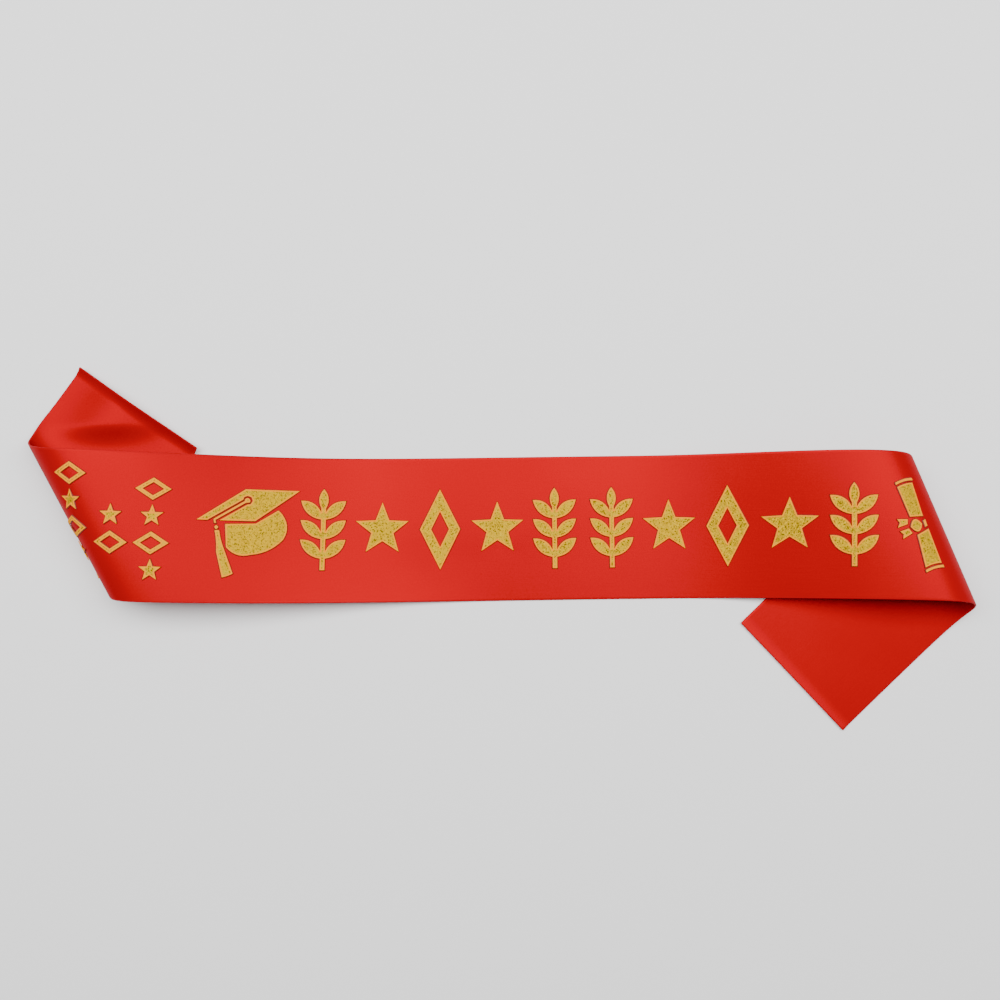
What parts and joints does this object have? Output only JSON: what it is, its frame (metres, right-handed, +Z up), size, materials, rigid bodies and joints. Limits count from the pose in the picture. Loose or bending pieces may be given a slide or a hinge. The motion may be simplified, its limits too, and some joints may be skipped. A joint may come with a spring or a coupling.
{
  "type": "graduation sash",
  "caption": "Flat satin ribbon sash with both ends folded underneath and a gold print of a cap, a diploma and plain ornaments.",
  "frame": {"origin": "underside of the front panel at its middle, where the sash rests on the table", "axes": "+X along the front panel towards the diploma, +Y towards the panel's upper edge, +Z up from the table"},
  "size_m": [0.6156, 0.2429, 0.0366],
  "materials": {
    "satin": "red polyester satin",
    "gold_film": "gold glitter transfer film"
  },
  "bodies": {
    "root": {"cap_board": "gold_film", "cap_cord": "gold_film", "cap_knot": "gold_film", "cap_skull": "gold_film", "cap_tassel": "gold_film", "diamond_1_1": "gold_film", "diamond_1_3": "gold_film", "diamond_2_2": "gold_film", "diamond_3_1": "gold_film", "diamond_3_3": "gold_film", "diamond_3_5": "gold_film", "diploma_lower_end": "gold_film", "diploma_lower_roll": "gold_film", "diploma_ribbon_lower": "gold_film", "diploma_ribbon_upper": "gold_film", "diploma_seal": "gold_film", "diploma_upper_end": "gold_film", "diploma_upper_roll": "gold_film", "diploma_wrap": "gold_film", "lozenge_3": "gold_film", "lozenge_8": "gold_film", "sash_band": "satin", "small_star_1_2": "gold_film", "small_star_1_4": "gold_film", "small_star_2_1": "gold_film", "small_star_3_2": "gold_film", "small_star_3_4": "gold_film", "sprig_1": "gold_film", "sprig_10": "gold_film", "sprig_5": "gold_film", "sprig_6": "gold_film", "star_2": "gold_film", "star_4": "gold_film", "star_7": "gold_film", "star_9": "gold_film"}
  },
  "joints": []
}
